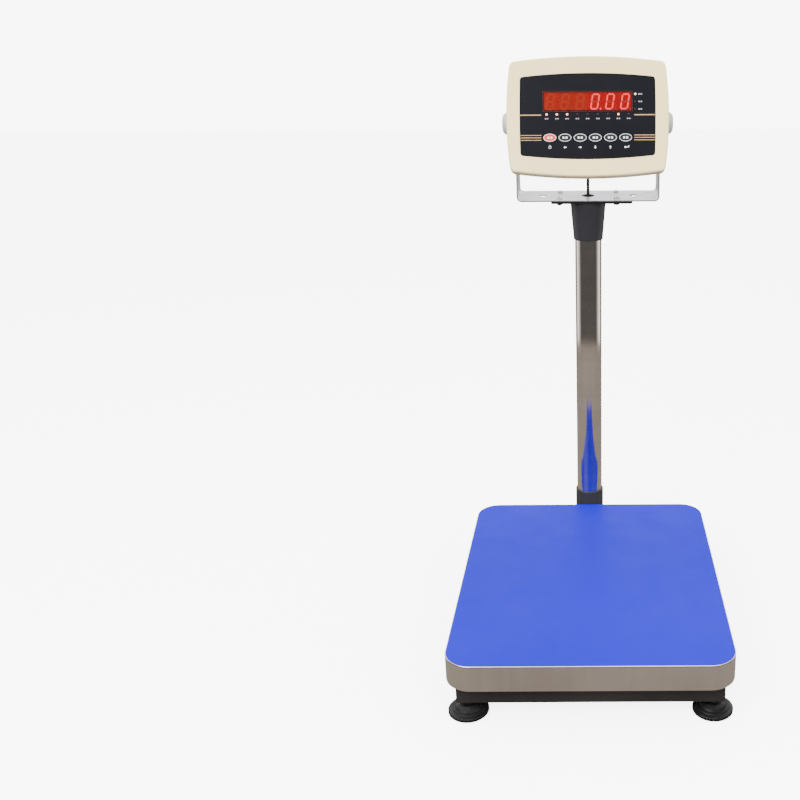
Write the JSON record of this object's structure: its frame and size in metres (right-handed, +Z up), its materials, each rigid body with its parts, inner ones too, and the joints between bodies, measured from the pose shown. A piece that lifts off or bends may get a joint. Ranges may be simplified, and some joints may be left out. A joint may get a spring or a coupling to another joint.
{
  "type": "electronic bench platform scale",
  "caption": "Floor-standing electronic platform scale: flat pan on a levelled frame, rear column and a tilting seven-segment indicator in a U-bracket.",
  "frame": {"origin": "on the floor, under the middle of the whole object as seen from above", "axes": "+Z up along the column, -Y towards the user in front of the platform, +X to the user's right"},
  "size_m": [0.4, 0.572, 0.8623],
  "materials": {
    "stainless": "mirror-polished 201 stainless sheet and tube",
    "blue_film": "thin blue protective PVC film",
    "black_steel": "black powder coat",
    "zinc_hardware": "bright zinc plate",
    "dark_hardware": "black oxide",
    "cell_alloy": "machined and anodised",
    "black_rubber": "soft matt",
    "black_plastic": "fine moulded texture",
    "level_body": "clear cup with green liquid",
    "cable_black": "satin PVC jacket",
    "galvanised": "light grey zinc-plated sheet steel",
    "cream_plastic": "fine spark texture",
    "overlay_black": "printed polyester film",
    "red_filter": "red tinted acrylic",
    "digit_red": "seven-segment LED blocks, lit red",
    "led_clear": "small LEDs",
    "board_green": "solder mask on glass-epoxy board",
    "battery_blue": "heat-shrink sleeve",
    "brass_insert": "turned",
    "knob_grey": "satin moulded",
    "washer_black": "matt fibre",
    "foot_rubber": "moulded rubber",
    "key_red": "embossed printed key",
    "key_black": "embossed printed key"
  },
  "bodies": {
    "base": {"base_rail_front": "black_steel", "base_rail_rear": "black_steel", "base_rail_left": "black_steel", "base_rail_right": "black_steel", "overload_stop_screws": "zinc_hardware", "cell_mount_plate": "black_steel", "load_cell": "cell_alloy", "load_cell_spacers": "cell_alloy", "load_cell_bolts": "dark_hardware", "upper_cell_plate": "black_steel", "upper_rail_left": "black_steel", "upper_rail_right": "black_steel", "platter_pads": "black_rubber", "foot_lock_nuts": "dark_hardware", "column_bracket": "black_steel", "column_bracket_bolts": "zinc_hardware", "column_socket": "black_plastic", "column_tube": "stainless", "column_clamp_screws": "zinc_hardware", "bubble_level": "level_body", "signal_cable": "cable_black"},
    "platform": {"platter": "stainless", "platter_film": "blue_film"},
    "head": {"column_cap": "black_plastic", "cap_grub_screws": "zinc_hardware", "head_plate": "black_steel", "tilt_bracket": "galvanised", "bracket_screws": "zinc_hardware", "bracket_nuts": "dark_hardware", "indicator_cable": "cable_black"},
    "indicator": {"front_bezel": "cream_plastic", "keypad_overlay": "overlay_black", "display_window": "red_filter", "digit_modules": "digit_red", "status_leds": "led_clear", "display_board": "board_green", "rear_case": "cream_plastic", "pivot_inserts": "brass_insert", "case_screws": "zinc_hardware", "main_board": "board_green", "battery_pack": "battery_blue", "cable_gland": "black_plastic"},
    "foot_front_left": {"foot_pad_front_left": "foot_rubber"},
    "stud_front_left": {"foot_stud_front_left": "dark_hardware"},
    "foot_front_right": {"foot_pad_front_right": "foot_rubber"},
    "stud_front_right": {"foot_stud_front_right": "dark_hardware"},
    "foot_rear_left": {"foot_pad_rear_left": "foot_rubber"},
    "stud_rear_left": {"foot_stud_rear_left": "dark_hardware"},
    "foot_rear_right": {"foot_pad_rear_right": "foot_rubber"},
    "stud_rear_right": {"foot_stud_rear_right": "dark_hardware"},
    "washer_left": {"knob_washer_left": "washer_black"},
    "knob_left": {"knob_left": "knob_grey"},
    "washer_right": {"knob_washer_right": "washer_black"},
    "knob_right": {"knob_right": "knob_grey"},
    "button_1": {"key_1": "key_red"},
    "button_2": {"key_2": "key_black"},
    "button_3": {"key_3": "key_black"},
    "button_4": {"key_4": "key_black"},
    "button_5": {"key_5": "key_black"},
    "button_6": {"key_6": "key_black"}
  },
  "joints": [
    {"name": "platter_lift", "type": "slide", "parent": "base", "child": "platform", "axis": [0, 0, 1], "range_m": [0, 0.15]},
    {"name": "head_swivel", "type": "hinge", "parent": "base", "child": "head", "pos_m": [0, 0.246, 0.6368], "axis": [0, 0, 1], "range_deg": [-90, 90]},
    {"name": "indicator_tilt", "type": "hinge", "parent": "head", "child": "indicator", "pos_m": [0, 0.23306, 0.75992], "axis": [1, 0, 0], "range_deg": [-40, 13], "deforming": ["indicator_cable"]},
    {"name": "foot_front_left_level", "type": "slide", "parent": "base", "child": "foot_front_left", "axis": [0, 0, 1], "range_m": [-0.012, 0.0035]},
    {"name": "stud_front_left_turn", "type": "hinge", "parent": "foot_front_left", "child": "stud_front_left", "pos_m": [-0.17, -0.256, 0.01], "axis": [0, 0, 1], "range_deg": [-2881, 841]},
    {"name": "foot_front_right_level", "type": "slide", "parent": "base", "child": "foot_front_right", "axis": [0, 0, 1], "range_m": [-0.012, 0.0035]},
    {"name": "stud_front_right_turn", "type": "hinge", "parent": "foot_front_right", "child": "stud_front_right", "pos_m": [0.17, -0.256, 0.01], "axis": [0, 0, 1], "range_deg": [-2881, 841]},
    {"name": "foot_rear_left_level", "type": "slide", "parent": "base", "child": "foot_rear_left", "axis": [0, 0, 1], "range_m": [-0.012, 0.0035]},
    {"name": "stud_rear_left_turn", "type": "hinge", "parent": "foot_rear_left", "child": "stud_rear_left", "pos_m": [-0.17, 0.184, 0.01], "axis": [0, 0, 1], "range_deg": [-2881, 841]},
    {"name": "foot_rear_right_level", "type": "slide", "parent": "base", "child": "foot_rear_right", "axis": [0, 0, 1], "range_m": [-0.012, 0.0035]},
    {"name": "stud_rear_right_turn", "type": "hinge", "parent": "foot_rear_right", "child": "stud_rear_right", "pos_m": [0.17, 0.184, 0.01], "axis": [0, 0, 1], "range_deg": [-2881, 841]},
    {"name": "knob_left_travel", "type": "slide", "parent": "indicator", "child": "washer_left", "axis": [-1, 0, 0], "range_m": [0, 0.0025]},
    {"name": "knob_left_turn", "type": "hinge", "parent": "washer_left", "child": "knob_left", "pos_m": [0, 0.23306, 0.75992], "axis": [-1, 0, 0], "range_deg": [-721, 1]},
    {"name": "knob_right_travel", "type": "slide", "parent": "indicator", "child": "washer_right", "axis": [1, 0, 0], "range_m": [0, 0.0025]},
    {"name": "knob_right_turn", "type": "hinge", "parent": "washer_right", "child": "knob_right", "pos_m": [0, 0.23306, 0.75992], "axis": [1, 0, 0], "range_deg": [-721, 1]},
    {"name": "key_1_press", "type": "slide", "parent": "indicator", "child": "button_1", "axis": [0, 0.9603, -0.279], "range_m": [0, 0.0005], "stiffness_N_per_m": 3000, "springref_m": -0.0003},
    {"name": "key_2_press", "type": "slide", "parent": "indicator", "child": "button_2", "axis": [0, 0.9603, -0.279], "range_m": [0, 0.0005], "stiffness_N_per_m": 3000, "springref_m": -0.0003},
    {"name": "key_3_press", "type": "slide", "parent": "indicator", "child": "button_3", "axis": [0, 0.9603, -0.279], "range_m": [0, 0.0005], "stiffness_N_per_m": 3000, "springref_m": -0.0003},
    {"name": "key_4_press", "type": "slide", "parent": "indicator", "child": "button_4", "axis": [0, 0.9603, -0.279], "range_m": [0, 0.0005], "stiffness_N_per_m": 3000, "springref_m": -0.0003},
    {"name": "key_5_press", "type": "slide", "parent": "indicator", "child": "button_5", "axis": [0, 0.9603, -0.279], "range_m": [0, 0.0005], "stiffness_N_per_m": 3000, "springref_m": -0.0003},
    {"name": "key_6_press", "type": "slide", "parent": "indicator", "child": "button_6", "axis": [0, 0.9603, -0.279], "range_m": [0, 0.0005], "stiffness_N_per_m": 3000, "springref_m": -0.0003}
  ],
  "couplings": [
    {"joint": "stud_front_left_turn", "follows": "foot_front_left_level", "rad_per_m": 4188.8},
    {"joint": "stud_front_right_turn", "follows": "foot_front_right_level", "rad_per_m": 4188.8},
    {"joint": "stud_rear_left_turn", "follows": "foot_rear_left_level", "rad_per_m": 4188.8},
    {"joint": "stud_rear_right_turn", "follows": "foot_rear_right_level", "rad_per_m": 4188.8},
    {"joint": "knob_left_turn", "follows": "knob_left_travel", "rad_per_m": -5026.5},
    {"joint": "knob_right_turn", "follows": "knob_right_travel", "rad_per_m": -5026.5}
  ]
}
